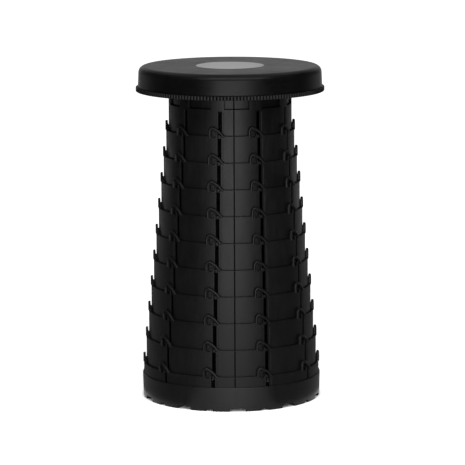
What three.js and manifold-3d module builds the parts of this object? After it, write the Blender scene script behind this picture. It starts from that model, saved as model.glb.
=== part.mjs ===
// Collapsible telescopic stool, in millimetres, +Z up, standing on z = 0 with its axis on Z.
// A round seat stands on a collar and eleven nested rings. Each ring slides down inside the next wider one.
// Ten lugs round the foot of every ring run in ten slots of the ring outside it. A slot ends at the top in a
// hook: a channel over a tongue into a pocket, where the lug drops when the ring is turned a few degrees.
import * as THREE from "three";
import { mergeGeometries, mergeVertices } from "three/addons/utils/BufferGeometryUtils.js";
import Module from "manifold-3d";

const wasm = await Module();
wasm.setup();

// Counts
const ringCount = 11;
const sectorCount = 10;
const screwCount = 5;
const ribCount = 10;
const catchCount = 5;

// Ring stack, pulled up. The foot of each ring sits a little below the top of the next wider ring's panels.
const firstRingRadius = 81.5;
const ringPitch = 3.55;
const wall = 2.2;
const panelHeight = 38.65;
const nestDepth = 3.9;
const firstSlotTurn = -9.4;
const slotDrift = -0.245;

// Arch over each slot, measured from the slot's middle line and up from the ring's low edge
const archLeft = 15.4;
const archRight = 7.4;
const archRise = 12;
const archSideShare = 0.7;
const archCornerShares = [0.84, 0.94];
const archCrownShare = 0.56;
const archNeckShare = 0.72;
const archDraft = 0.4;
const archRim = 2.6;
const archPost = 3.4;

// Slot, tongue and pocket
const slotWidth = 3.7;
const slotHead = 3.2;
const pocketNear = 4.6;
const pocketSink = 2.3;
const pocketCrownShare = 0.54;
const pocketCornerShare = 0.9;
const tongueTip = 3.4;
const tongueRoot = 0.3;

// Hoop and lugs round the foot of a ring
const hoopHeight = 5;
const hoopSkin = 1;
const hoopSill = 1.8;
const lugFoot = 1.6;
const lugFace = 1.7;
const lugHeight = 3.2;
const lugRoot = 0.6;

// Clearances
const restGap = 0.3;
const slideGap = 0.3;
const overrun = 2;

// Base ring
const footHeight = 4.8;
const floorThickness = 2.1;
const bandHeight = 31.9;
const bandThickness = 1.4;
const floorWidth = 25;
const wideChannelWidth = 22;
const wideChannelTurn = 3.9;
const smallChannelWidth = 7.5;
const smallChannelDepth = 3.3;
const smallChannelTurn = 22;
const channelFlare = 2;
const clipHeight = 3;

// Seat. Its skirt stands a little further out than the base band, and its grip ring further still.
const seatDepth = 33.1;
const topPlate = 2.4;
const skirtReach = 2.3;
const skirtFlare = 1;
const skirtWall = 1.3;
const edgeRound = 8.5;
const edgeSteps = 4;
const gripReach = 4;
const gripHeight = 5.5;
const spigotHeight = 12;
const spigotWall = 1.2;
const catchWidth = 8;
const catchHeight = 2;
const catchReach = 0.6;
const catchRise = 6;
const badgeRadius = 45;
const badgeThickness = 0.8;
const ribThickness = 2;
const ribDepth = 9;
const ribInset = 3.75;
const hubRadius = 14;
const hubDepth = 12;

// Collar flange, bosses and screws, with insets measured from the collar's inner face
const flangeThickness = 2.5;
const flangeWidth = 10.75;
const bossInset = 5.25;
const bossRadius = 3.4;
const bossLength = 12;
const screwRadius = 1.6;
const screwReach = 8;
const headRadius = 3.3;
const headHeight = 2.2;

// Facets
const roundSegments = 50;
const badgeSegments = 40;
const smallSegments = 8;
const weldDistance = 1e-4;

const blackPlastic = { color: 0x1c1c1d, roughness: 0.55, metalness: 0 };
const satinSilver = { color: 0xb4b5b7, roughness: 0.35, metalness: 0.8 };
const zincSteel = { color: 0x9a9c9f, roughness: 0.4, metalness: 1 };

const radians = THREE.MathUtils.degToRad;
const sector = (2 * Math.PI) / sectorCount;
const ringHeight = panelHeight + archRise;
const ringStep = panelHeight - nestDepth;
const pocketFar = archLeft - archPost;
const pocketRoof = archRise - archRim;
const lugWidth = slotWidth - 2 * slideGap;

const ringRadius = (index) => firstRingRadius + ringPitch * (index - 1);
const ringFoot = (index) => floorTop + restGap + ringStep * (ringCount - index);
const slotTurn = (index) => radians(firstSlotTurn + slotDrift * (index - 1));

const bandInnerRadius = ringRadius(ringCount) + restGap;
const bandRadius = bandInnerRadius + bandThickness;
const floorInnerRadius = ringRadius(ringCount) - floorWidth;
const floorTop = footHeight + floorThickness;

const collarTurn = slotTurn(0);
const collarInnerRadius = ringRadius(0) - wall;
const bossCircleRadius = collarInnerRadius - bossInset;
const flangeTop = ringHeight - bossLength;
const flangeLow = flangeTop - flangeThickness;

const seatTop = ringFoot(0) + ringHeight + restGap + topPlate;
const seatBottom = seatTop - seatDepth;
const underside = seatDepth - topPlate;
const skirtRadius = bandRadius + skirtReach;
const skirtInnerRadius = skirtRadius - skirtWall;
const gripRadius = skirtRadius + gripReach;

// Solids and meshes

function solidOf(geometry) {
  const bare = new THREE.BufferGeometry();
  bare.setAttribute("position", geometry.getAttribute("position"));
  if (geometry.index) bare.setIndex(geometry.index);
  const merged = mergeVertices(bare, weldDistance);
  const corners = merged.index.array;
  const triangles = [];
  for (let i = 0; i < corners.length; i += 3) {
    const [a, b, c] = corners.slice(i, i + 3);
    if (a !== b && b !== c && c !== a) triangles.push(a, b, c);
  }
  const mesh = new wasm.Mesh({
    numProp: 3,
    vertProperties: merged.getAttribute("position").array,
    triVerts: new Uint32Array(triangles),
  });
  return new wasm.Manifold(mesh);
}

function geometryOf(solid) {
  const mesh = solid.getMesh();
  const geometry = new THREE.BufferGeometry();
  geometry.setAttribute("position", new THREE.BufferAttribute(mesh.vertProperties, 3));
  geometry.setIndex(new THREE.BufferAttribute(mesh.triVerts, 1));
  geometry.computeVertexNormals();
  return geometry;
}

function piece(name, solid, finish) {
  const mesh = new THREE.Mesh(geometryOf(solid), new THREE.MeshStandardMaterial(finish));
  mesh.name = name;
  return mesh;
}

// A solid from an outline of [across, up] points at the front (-Y), pushed out from one radius to another.
function radialPrism(outline, fromRadius, toRadius) {
  const shape = new THREE.Shape(outline.map(([across, up]) => new THREE.Vector2(across, up)));
  const depth = toRadius - fromRadius;
  const geometry = new THREE.ExtrudeGeometry(shape, { depth, bevelEnabled: false });
  return geometry.translate(0, 0, fromRadius).rotateX(Math.PI / 2);
}

// A solid from an outline of [radius, up] points at the front, as wide as given from side to side.
function sidePrism(outline, width) {
  const shape = new THREE.Shape(outline.map(([radius, up]) => new THREE.Vector2(radius, up)));
  const geometry = new THREE.ExtrudeGeometry(shape, { depth: width, bevelEnabled: false });
  return geometry.translate(0, 0, -width / 2).rotateX(Math.PI / 2).rotateZ(-Math.PI / 2);
}

// A rectangle between two corners, as outline points.
function rectangle(left, bottom, right, top) {
  return [[left, bottom], [right, bottom], [right, top], [left, top]];
}

// Copies of a geometry turned evenly about Z, as one solid.
function around(geometry, count, firstTurn = 0) {
  const copies = [];
  for (let i = 0; i < count; i += 1) {
    copies.push(geometry.clone().rotateZ(firstTurn + (2 * Math.PI * i) / count));
  }
  return solidOf(mergeGeometries(copies));
}

// A solid turned about Z from a profile of [radius, height] points that runs from the top outwards and down.
function turned(profile, segments) {
  const points = profile.map(([radius, height]) => new THREE.Vector2(radius, height)).reverse();
  return new THREE.LatheGeometry(points, segments).rotateX(Math.PI / 2);
}

function rod(radius, low, high, segments = smallSegments) {
  return turned([[0, high], [radius, high], [radius, low], [0, low]], segments);
}

// Ring wall: flat panels, three to a sector. The wide panel carries an arch and the slot under it.

function panelTurns(radius) {
  const left = -Math.asin(archLeft / radius);
  const right = Math.asin(archRight / radius);
  return [left, right, (right + left + sector) / 2, left + sector];
}

function allTurns(radius) {
  const turns = panelTurns(radius).slice(0, 3);
  return Array.from({ length: sectorCount }, (_, i) => turns.map((turn) => turn + i * sector)).flat();
}

// How far out a wall's outer face stands on the slot's middle line.
function faceRadius(radius) {
  const [left, right] = panelTurns(radius);
  return radius * THREE.MathUtils.lerp(Math.cos(left), Math.cos(right), archLeft / (archLeft + archRight));
}

// Outlines on the wide panel, as [across, up] points from the slot's middle line at the ring's foot.

function panelOutline() {
  const [cornerAcross, cornerUp] = archCornerShares;
  return [
    [-archLeft, 0],
    [archRight, 0],
    [archRight, panelHeight],
    [0, panelHeight + archRise * archNeckShare],
    [-archLeft * archCrownShare, panelHeight + archRise],
    [-archLeft * cornerAcross, panelHeight + archRise * cornerUp],
    [-archLeft + archDraft, panelHeight + archRise * archSideShare],
    [-archLeft, panelHeight],
  ];
}

// Round the slot and its hook, clockwise, from the slot's foot up the left side.
function slotOutline(slotFoot) {
  const side = slotWidth / 2;
  return [
    [-side, slotFoot],
    [-side, panelHeight + tongueRoot],
    [-pocketNear, panelHeight + tongueTip],
    [-pocketNear, panelHeight - pocketSink],
    [-pocketFar, panelHeight - pocketSink],
    [-pocketFar, panelHeight + pocketRoof * pocketCornerShare],
    [-pocketFar * pocketCrownShare, panelHeight + pocketRoof],
    [side, panelHeight + slotHead],
    [side, slotFoot],
  ];
}

function plainOutline() {
  return [[0, 0], [1, 0], [1, panelHeight], [0, panelHeight]];
}

// The wall of a slotted ring. Every outline is drawn on the outer faces and carried in towards the axis.
// Behind the hoop at the slot's foot the cut goes deeper, to a sill where the inner ring's lug comes to rest.
function slottedWall(radius) {
  const turns = panelTurns(radius);
  const inward = (radius - wall) / radius;
  const skin = 1 - hoopSkin / faceRadius(radius);
  const share = ([across, up]) => [(across + archLeft) / (archLeft + archRight), up];
  const corners = [];

  function drawSector(turn) {
    const along = (panel) => ([part, up], depth) => {
      const [left, right] = [turns[panel] + turn, turns[panel + 1] + turn];
      const across = THREE.MathUtils.lerp(Math.sin(left), Math.sin(right), part);
      const out = THREE.MathUtils.lerp(Math.cos(left), Math.cos(right), part);
      return [across * radius * depth, -out * radius * depth, up];
    };
    const quad = (a, b, c, d) => corners.push(...a, ...b, ...c, ...a, ...c, ...d);
    const face = (place, contour, holes, depth) => {
      const vectors = (outline) => outline.map(([across, up]) => new THREE.Vector2(across, up));
      const points = [contour, ...holes].flat();
      for (const [a, b, c] of THREE.ShapeUtils.triangulateShape(vectors(contour), holes.map(vectors))) {
        const order = depth === 1 ? [a, b, c] : [c, b, a];
        for (const corner of order) corners.push(...place(points[corner], depth));
      }
    };
    const edge = (place, from, to) => {
      quad(place(from, 1), place(from, inward), place(to, inward), place(to, 1));
    };

    for (const panel of [1, 2]) {
      const place = along(panel);
      const [low, lowEnd, highEnd, high] = plainOutline();
      face(place, plainOutline(), [], 1);
      face(place, plainOutline(), [], inward);
      edge(place, low, lowEnd);
      edge(place, highEnd, high);
    }

    const place = along(0);
    const contour = panelOutline().map(share);
    const hook = slotOutline(hoopHeight).map(share);
    const hookInside = slotOutline(hoopSill).map(share);
    face(place, contour, [hook], 1);
    face(place, contour, [hookInside], inward);
    edge(place, contour[0], contour[1]);
    for (let i = 2; i < contour.length - 1; i += 1) edge(place, contour[i], contour[i + 1]);
    for (let i = 1; i < hook.length - 2; i += 1) edge(place, hook[i], hook[i + 1]);

    const [footLeft, topLeft] = hook;
    const [topRight, footRight] = hook.slice(-2);
    const sillLeft = hookInside[0];
    const sillRight = hookInside[hookInside.length - 1];
    quad(place(footRight, 1), place(footRight, skin), place(footLeft, skin), place(footLeft, 1));
    quad(place(footRight, skin), place(sillRight, skin), place(sillLeft, skin), place(footLeft, skin));
    quad(place(sillRight, skin), place(sillRight, inward), place(sillLeft, inward), place(sillLeft, skin));
    quad(place(footLeft, 1), place(footLeft, skin), place(topLeft, inward), place(topLeft, 1));
    quad(place(footLeft, skin), place(sillLeft, skin), place(sillLeft, inward), place(topLeft, inward));
    quad(place(topRight, 1), place(topRight, inward), place(footRight, skin), place(footRight, 1));
    quad(place(topRight, inward), place(sillRight, inward), place(sillRight, skin), place(footRight, skin));
  }

  for (let i = 0; i < sectorCount; i += 1) drawSector(i * sector);
  const geometry = new THREE.BufferGeometry();
  geometry.setAttribute("position", new THREE.Float32BufferAttribute(corners, 3));
  return solidOf(geometry);
}

// A lug reaches into the next ring's slot and stops short of the skin of that ring's hoop.
function lug(radius) {
  const face = faceRadius(radius);
  const tip = faceRadius(radius + ringPitch) - hoopSkin - slideGap;
  const outline = [
    [face - lugRoot, lugFoot],
    [tip, lugFoot],
    [tip, lugFoot + lugFace],
    [face - lugRoot, lugFoot + lugHeight],
  ];
  return sidePrism(outline, lugWidth);
}

function lugs(radius) {
  return around(lug(radius), sectorCount, radians(slotDrift));
}

function slottedRing(index) {
  const radius = ringRadius(index);
  const solid = slottedWall(radius);
  return index < ringCount ? solid.add(lugs(radius)) : solid;
}

// A closed [radius, height] profile carried round the corners of the ring wall, to nest with the rings.
function profileRing(turns, profile) {
  const corners = [];
  turns.forEach((turn, i) => {
    const next = turns[(i + 1) % turns.length];
    const place = ([radius, height], at) => [radius * Math.sin(at), -radius * Math.cos(at), height];
    profile.forEach((from, j) => {
      const to = profile[(j + 1) % profile.length];
      const [a, b, c, d] = [place(from, turn), place(from, next), place(to, next), place(to, turn)];
      corners.push(...a, ...b, ...c, ...a, ...c, ...d);
    });
  });
  const geometry = new THREE.BufferGeometry();
  geometry.setAttribute("position", new THREE.Float32BufferAttribute(corners, 3));
  return solidOf(geometry);
}

// The collar under the seat: a plain ring with lugs below and a screwed flange inside.
function seatCollar() {
  const radius = ringRadius(0);
  const profile = [
    [radius, 0],
    [radius, ringHeight],
    [collarInnerRadius, ringHeight],
    [collarInnerRadius, flangeTop],
    [collarInnerRadius - flangeWidth, flangeTop],
    [collarInnerRadius - flangeWidth, flangeLow],
    [collarInnerRadius, flangeLow],
    [collarInnerRadius, 0],
  ];
  const hole = rod(screwRadius + 2 * restGap, flangeLow - overrun, flangeTop + overrun);
  hole.translate(0, -bossCircleRadius, 0);
  return profileRing(allTurns(radius), profile).add(lugs(radius)).subtract(around(hole, screwCount));
}

// Base: a floor on castellated feet and a band that stands round the widest ring
function baseRing() {
  const radius = ringRadius(ringCount);
  const profile = [
    [floorInnerRadius, 0],
    [bandRadius, 0],
    [bandRadius, bandHeight],
    [bandInnerRadius, bandHeight],
    [bandInnerRadius, floorTop],
    [floorInnerRadius, floorTop],
  ];
  const wide = footChannel(wideChannelWidth, footHeight);
  const small = footChannel(smallChannelWidth, smallChannelDepth);
  const turn = slotTurn(ringCount);
  return profileRing(allTurns(radius), profile)
    .add(around(clip(radius), sectorCount))
    .subtract(around(wide, sectorCount, radians(wideChannelTurn) - turn))
    .subtract(around(small, sectorCount, radians(smallChannelTurn) - turn));
}

function footChannel(width, depth) {
  const foot = width / 2;
  const roof = foot - channelFlare;
  const outline = [
    [-foot, 0],
    [-foot, -overrun],
    [foot, -overrun],
    [foot, 0],
    [roof, depth],
    [-roof, depth],
  ];
  return radialPrism(outline, floorInnerRadius - 2 * overrun, bandRadius + overrun);
}

// A clip on the band's inner face sits in the widest ring's slot, over its hoop, and keeps that ring down.
function clip(radius) {
  const tip = faceRadius(radius) - hoopSkin + slideGap / 2;
  const low = floorTop + restGap + hoopHeight + restGap;
  const outer = faceRadius((bandInnerRadius + bandRadius) / 2);
  return sidePrism(rectangle(tip, low, outer, low + clipHeight), slotWidth - 2 * restGap);
}

// Seat pieces, built up from the grip ring's underside

const flatShare = Math.cos(Math.PI / roundSegments);
const spigotRadius = skirtInnerRadius - restGap;
const halfFacet = Math.PI / roundSegments;

function coverProfile() {
  const recess = seatDepth - badgeThickness - restGap;
  const skirtFoot = gripHeight + restGap;
  const profile = [
    [0, recess],
    [badgeRadius + restGap, recess],
    [badgeRadius + restGap, seatDepth],
  ];
  for (let i = 0; i <= edgeSteps; i += 1) {
    const turn = (Math.PI / 2) * (i / edgeSteps);
    const radius = skirtRadius - edgeRound * (1 - Math.sin(turn));
    profile.push([radius, seatDepth - edgeRound * (1 - Math.cos(turn))]);
  }
  profile.push(
    [skirtRadius + skirtFlare, skirtFoot],
    [skirtInnerRadius, skirtFoot],
    [skirtInnerRadius, underside],
    [0, underside],
  );
  return profile;
}

function seatCover() {
  const hangFrom = underside + topPlate / 4;
  const ribFoot = underside - ribDepth;
  const ribStart = (hubRadius + ribThickness / 2) * Math.cos(Math.PI / ribCount);
  const ribEnd = collarInnerRadius - ribInset;
  const rib = sidePrism(rectangle(ribStart, ribFoot, ribEnd, hangFrom), ribThickness);
  const hubFoot = underside - hubDepth;
  const hub = rod(hubRadius + ribThickness, hubFoot, hangFrom, ribCount);
  const bore = rod(hubRadius, hubFoot - overrun, seatDepth, ribCount);
  const boss = rod(bossRadius, underside - bossLength, hangFrom).translate(0, -bossCircleRadius, 0);
  const pilot = rod(screwRadius + restGap, underside - bossLength - overrun, underside - restGap);
  pilot.translate(0, -bossCircleRadius, 0);
  const pocketOuter = (spigotRadius + catchReach) * flatShare + restGap;
  const pocketLow = gripHeight + catchRise - restGap;
  const pocketHigh = gripHeight + catchRise + catchHeight + restGap;
  const pocketOutline = rectangle(skirtInnerRadius - overrun, pocketLow, pocketOuter, pocketHigh);
  const pocket = sidePrism(pocketOutline, catchWidth + 2 * restGap);
  return solidOf(turned(coverProfile(), roundSegments))
    .add(around(rib, ribCount, Math.PI / ribCount))
    .add(solidOf(hub).subtract(solidOf(bore)))
    .add(around(boss, screwCount))
    .subtract(around(pilot, screwCount))
    .subtract(around(pocket, catchCount, halfFacet));
}

function gripRing() {
  const inner = spigotRadius - spigotWall;
  const profile = [
    [inner, 0],
    [inner, gripHeight + spigotHeight],
    [spigotRadius, gripHeight + spigotHeight],
    [spigotRadius, gripHeight],
    [gripRadius, gripHeight],
    [gripRadius, 0],
    [inner, 0],
  ];
  const low = gripHeight + catchRise;
  const root = (spigotRadius - spigotWall / 2) * flatShare;
  const reach = (spigotRadius + catchReach) * flatShare;
  const ledge = sidePrism(rectangle(root, low, reach, low + catchHeight), catchWidth);
  return solidOf(turned(profile, roundSegments)).add(around(ledge, catchCount, halfFacet));
}

function seatBadge() {
  const low = seatDepth - badgeThickness;
  const profile = [[0, seatDepth], [badgeRadius, seatDepth], [badgeRadius, low], [0, low]];
  return solidOf(turned(profile, badgeSegments));
}

function collarScrew() {
  const headTop = -restGap;
  const tip = flangeThickness + restGap + screwReach;
  const profile = [
    [0, tip],
    [screwRadius, tip],
    [screwRadius, headTop],
    [headRadius, headTop],
    [headRadius, headTop - headHeight],
    [0, headTop - headHeight],
  ];
  return solidOf(turned(profile, smallSegments));
}

// Assembly

const stool = new THREE.Group();

const base = piece("base_ring", baseRing(), blackPlastic);
base.rotation.z = slotTurn(ringCount);
stool.add(base);

for (let index = ringCount; index >= 1; index -= 1) {
  const ring = piece("ring_" + index, slottedRing(index), blackPlastic);
  ring.position.z = ringFoot(index);
  ring.rotation.z = slotTurn(index);
  stool.add(ring);
}

const collar = new THREE.Group();
collar.position.z = ringFoot(0);
collar.rotation.z = collarTurn;
collar.add(piece("seat_collar", seatCollar(), blackPlastic));
const screw = collarScrew();
for (let i = 0; i < screwCount; i += 1) {
  const holder = new THREE.Group();
  holder.rotation.z = (2 * Math.PI * i) / screwCount;
  const mesh = piece("collar_screw_" + (i + 1), screw, zincSteel);
  mesh.position.set(0, -bossCircleRadius, flangeLow);
  holder.add(mesh);
  collar.add(holder);
}
stool.add(collar);

const seat = new THREE.Group();
seat.position.z = seatBottom;
seat.rotation.z = collarTurn;
const cover = piece("seat_cover", seatCover(), blackPlastic);
const badge = piece("seat_badge", seatBadge(), satinSilver);
const grip = piece("grip_ring", gripRing(), blackPlastic);
seat.add(cover, badge, grip);
stool.add(seat);

export default stool;
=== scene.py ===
import math

import bpy
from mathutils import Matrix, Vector
from mathutils.geometry import delaunay_2d_cdt


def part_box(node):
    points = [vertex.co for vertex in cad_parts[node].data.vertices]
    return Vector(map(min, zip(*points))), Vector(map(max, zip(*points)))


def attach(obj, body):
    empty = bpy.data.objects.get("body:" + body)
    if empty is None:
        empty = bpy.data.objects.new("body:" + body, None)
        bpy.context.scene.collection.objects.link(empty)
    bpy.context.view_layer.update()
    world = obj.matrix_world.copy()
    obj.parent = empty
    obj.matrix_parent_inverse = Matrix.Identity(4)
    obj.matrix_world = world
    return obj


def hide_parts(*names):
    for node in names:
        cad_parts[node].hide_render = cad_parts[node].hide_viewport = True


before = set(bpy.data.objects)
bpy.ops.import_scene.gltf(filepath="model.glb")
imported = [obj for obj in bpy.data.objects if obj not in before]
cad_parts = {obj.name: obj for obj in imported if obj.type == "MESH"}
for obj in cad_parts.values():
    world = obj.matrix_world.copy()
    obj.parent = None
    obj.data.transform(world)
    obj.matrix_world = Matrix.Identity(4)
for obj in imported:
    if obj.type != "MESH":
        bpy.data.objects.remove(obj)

bl_info = {
    "name": "Telescopic Stool",
    "version": (1, 0, 0),
    "blender": (4, 5, 0),
    "location": "3D View > Sidebar > Stool",
    "description": "Builds the finished pieces of a collapsible telescopic stool round its packed frame",
    "category": "Add Mesh",
}

MM = 0.001
RING_COUNT = 11
SECTOR_COUNT = 10
SECTOR = 2 * math.pi / SECTOR_COUNT
SCREW_COUNT = 5
CATCH_COUNT = 5
COLUMN_TURN = math.radians(3)
FLANK_FOOT, FLANK_HEAD = 3, 5  # Plain wall under and over the shallow strips beside a slot
FACE_STEP, BACK_STEP = 5, 9  # Height of the triangles on a ring's face and on its inside
SIDE_STEPS = 8  # Triangles up each straight side of a sector
BEAD_BITE = 0.25  # How deep a bead is let into the wall
BASE_RADIUS, BASE_BORE, BASE_INNER = 118.7, 117.3, 92
BASE_HEIGHT, BASE_FLOOR, BASE_EDGE = 31.9, 6.9, 0.5
BASE_TAPER = 0.8  # How much narrower the base is at its foot, in radius
NOTCHES = ((3.9, 11, 4.8, 2), (21.8, 5.0, 3.3, 1.3))  # Turn in degrees, half width, depth and flare


# Mesh building, in millimetres about the stool's axis. A turn of 0 faces the front (-Y) and grows towards +X.

class Shell:
    """Faces gathered with the normal of each corner, so that rounded edges shade as rounded."""

    def __init__(self):
        self.points = []
        self.places = {}
        self.faces = []
        self.normals = []

    def vertex(self, point):
        key = tuple(round(value, 4) for value in point)
        if key not in self.places:
            self.places[key] = len(self.points)
            self.points.append(key)
        return self.places[key]

    def face(self, points, normals=None):
        if normals is None:
            normals = [flat_normal(points)] * len(points)
        kept = []
        for point, normal in zip(points, normals):
            index = self.vertex(point)
            if all(index != other for other, _ in kept):
                kept.append((index, normal))
        if len(kept) > 2:
            self.faces.append([index for index, _ in kept])
            self.normals.extend(normal for _, normal in kept)

    def move(self, across, back, up):
        """Moves a shell that was built about the axis at a height of 0."""
        self.points = [(x + across, y + back, z + up) for x, y, z in self.points]

    def object(self, name, material):
        mesh = bpy.data.meshes.new(name)
        mesh.from_pydata([Vector(point) * MM for point in self.points], [], self.faces)
        mesh.validate(clean_customdata=False)
        mesh.shade_smooth()
        if len(mesh.loops) != len(self.normals):
            raise RuntimeError(f"{name} has faces that fold onto each other")
        mesh.normals_split_custom_set(self.normals)
        mesh.materials.append(material)
        piece = bpy.data.objects.new(name, mesh)
        bpy.context.scene.collection.objects.link(piece)
        return piece


def flat_normal(points):
    first, second, last = Vector(points[0]), Vector(points[1]), Vector(points[-1])
    normal = (second - first).cross(last - first)
    return normal.normalized() if normal.length > 0 else Vector((0, 0, 1))


def at(radius, turn, height):
    return (radius * math.sin(turn), -radius * math.cos(turn), height)


def outward(turn, out, along=0.0, up=0.0):
    """A direction from its parts away from the axis, along the turn and up."""
    direction = Vector((
        out * math.sin(turn) + along * math.cos(turn),
        -out * math.cos(turn) + along * math.sin(turn),
        up,
    ))
    return direction.normalized()


# Turned forms

def rounded_profile(corners, steps):
    """Rows of (radius, height, normal before, normal after) from corners of (radius, height, fillet)."""
    rows = []
    for i, (radius, height, fillet) in enumerate(corners):
        here = Vector((radius, height))
        way_in = (here - Vector(corners[i - 1][:2])).normalized() if i else None
        way_out = (Vector(corners[i + 1][:2]) - here).normalized() if i < len(corners) - 1 else None
        sides = [Vector((-way.y, way.x)) if way else None for way in (way_in, way_out)]
        if not (way_in and way_out) or fillet <= 0:
            rows.append((radius, height, sides[0] or sides[1], sides[1] or sides[0]))
            continue
        half = math.acos(max(-1.0, min(1.0, way_in.dot(way_out)))) / 2
        sign = -1 if way_in.x * way_out.y - way_in.y * way_out.x > 0 else 1
        centre = here - way_in * (fillet * math.tan(half)) - sides[0] * fillet * sign
        for step in range(steps + 1):
            angle = -sign * (step / steps) * 2 * half
            normal = Vector((
                sides[0].x * math.cos(angle) - sides[0].y * math.sin(angle),
                sides[0].x * math.sin(angle) + sides[0].y * math.cos(angle),
            ))
            spot = centre + normal * fillet * sign
            rows.append((spot.x, spot.y, normal, normal))
    return rows


def turn_profile(shell, corners, segments, steps=3, closed=True, ripple=None):
    """Turns a profile, from the top outwards and down. ripple(turn, radius) moves a row out."""
    rows = rounded_profile(corners, steps)
    pairs = list(zip(rows, rows[1:]))
    if closed:
        pairs.append((rows[-1], rows[0]))
    turns = [2 * math.pi * i / segments for i in range(segments + 1)]
    for upper, lower in pairs:
        if (Vector(upper[:2]) - Vector(lower[:2])).length < 1e-4:
            continue
        wall = Vector((upper[1] - lower[1], lower[0] - upper[0])).normalized()
        soft = upper[3].dot(wall) > 0.8 and lower[2].dot(wall) > 0.8
        top, foot = (upper, upper[3] if soft else wall), (lower, lower[2] if soft else wall)
        for turn, following in zip(turns, turns[1:]):
            points, normals = [], []
            for (row, normal), spot in (
                (top, turn), (foot, turn), (foot, following), (top, following),
            ):
                radius, height = row[:2]
                out, slope = radius, 0
                if ripple and radius > 0:
                    out += ripple(spot, radius)
                    step = 1e-4 if spot == turn else -1e-4
                    rise = ripple(spot + 2 * step, radius) - ripple(spot + step, radius)
                    slope = rise / step / radius
                points.append(at(out, spot, height))
                normals.append(outward(spot, normal.x, -slope * max(normal.x, 0), normal.y))
            shell.face(points, normals)


# Ring walls, drawn flat as (across, up) and carried round the axis

def chain_ways(chain, closed):
    """The direction of travel at each point of a chain."""
    spots = [Vector(point) for point in chain]
    last = len(spots) - 1
    ways = []
    for i, here in enumerate(spots):
        before = spots[i - 1] if i or closed else here
        after = spots[(i + 1) % len(spots)] if i < last or closed else here
        ways.append(((here - before).normalized() + (after - here).normalized()).normalized())
    return ways


def inset(chain, ways, depth, level_ends=False):
    """Moves a chain to its right, into the wall."""
    moved = []
    for i, ((across, up), way) in enumerate(zip(chain, ways)):
        if level_ends and i in (0, len(chain) - 1):
            way = Vector((math.copysign(1, way.x), 0))
        moved.append((across + way.y * depth, up - way.x * depth))
    return moved


def with_columns(chain, columns, closed=False):
    """Adds a point wherever a chain crosses a column."""
    made = []
    ends = chain[1:] + ([chain[0]] if closed else [])
    for start, end in zip(chain, ends):
        made.append(start)
        low, high = sorted((start[0], end[0]))
        inside = [c for c in columns if low + 0.05 < c < high - 0.05]
        for column in sorted(inside, reverse=end[0] < start[0]):
            share = (column - start[0]) / (end[0] - start[0])
            made.append((column, start[1] + share * (end[1] - start[1])))
    if not closed:
        made.append(chain[-1])
    return made


def inside_loop(point, loop):
    across, up = point
    found = False
    for (x0, y0), (x1, y1) in zip(loop, loop[1:] + loop[:1]):
        if (y0 > up) != (y1 > up) and across < (x1 - x0) * (up - y0) / (y1 - y0) + x0:
            found = not found
    return found


def triangles(outline, holes, spots, lines=()):
    """Flat triangles between an outline and its holes, through given spots and along given lines."""
    points, edges = [], []
    for loop in [outline, *holes]:
        start = len(points)
        points += loop
        edges += [(start + i, start + (i + 1) % len(loop)) for i in range(len(loop))]
    for line in lines:
        start = len(points)
        points += line
        edges += [(start + i, start + i + 1) for i in range(len(line) - 1)]
    points += spots
    made = delaunay_2d_cdt([Vector(point) for point in points], edges, [], 0, 1e-5)
    found = []
    for face in made[2]:
        corners = [tuple(made[0][i]) for i in face]
        middle = tuple(sum(values) / len(corners) for values in zip(*corners))
        if inside_loop(middle, outline) and not any(inside_loop(middle, hole) for hole in holes):
            area = sum(
                a[0] * b[1] - b[0] * a[1] for a, b in zip(corners, corners[1:] + corners[:1])
            )
            found.append(corners if area > 0 else corners[::-1])
    return found


class Wall:
    """Carries flat outlines onto a round wall."""

    def __init__(self, shell, radius, turn, relief=None):
        self.shell = shell
        self.radius = radius
        self.turn = turn
        self.relief = relief or (lambda across, up: 0)

    def spot(self, point, depth, inner=False):
        across, up = point
        sunk = 0 if inner else self.relief(across, up)
        return at(self.radius - depth - sunk, self.turn + across / self.radius, up)

    def strip(self, chain, rows, closed=False):
        """Joins rows of (inset, depth, lean) along a chain whose wall lies to its right."""
        ways = chain_ways(chain, closed)
        lines = [inset(chain, ways, row[0], not closed) for row in rows]
        count = len(chain)
        for (upper, lower), (row, following) in zip(zip(lines, lines[1:]), zip(rows, rows[1:])):
            for i in range(count if closed else count - 1):
                j = (i + 1) % count
                corners, normals = [], []
                for line, (_, depth, lean), k in (
                    (upper, row, i), (upper, row, j), (lower, following, j), (lower, following, i),
                ):
                    corners.append(self.spot(line[k], depth))
                    away = Vector((-ways[k].y, ways[k].x))
                    turn = self.turn + line[k][0] / self.radius
                    normals.append(outward(
                        turn, math.cos(lean), away.x * math.sin(lean), away.y * math.sin(lean)
                    ))
                self.shell.face(corners, normals)

    def skin(self, faces, depth, inner=False):
        """Lays flat triangles on the wall, facing out, or in."""
        for corners in faces:
            order = corners[::-1] if inner else corners
            way = -1 if inner else 1
            levels = {round(self.relief(*point), 3) for point in order}
            points = [self.spot(point, depth, inner) for point in order]
            flat = not inner and len(levels) > 1
            normals = None if flat else [
                outward(self.turn + point[0] / self.radius, way) for point in order
            ]
            self.shell.face(points, normals)


def edge_rows(rounding, thickness):
    """Rows over a rounded edge and down through a wall."""
    quarter = math.pi / 2
    share = 1 - math.sqrt(0.5)
    return [
        (rounding, 0, 0),
        (rounding * share, rounding * share, quarter / 2),
        (0, rounding, quarter),
        (0, thickness, quarter),
    ]


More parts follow.
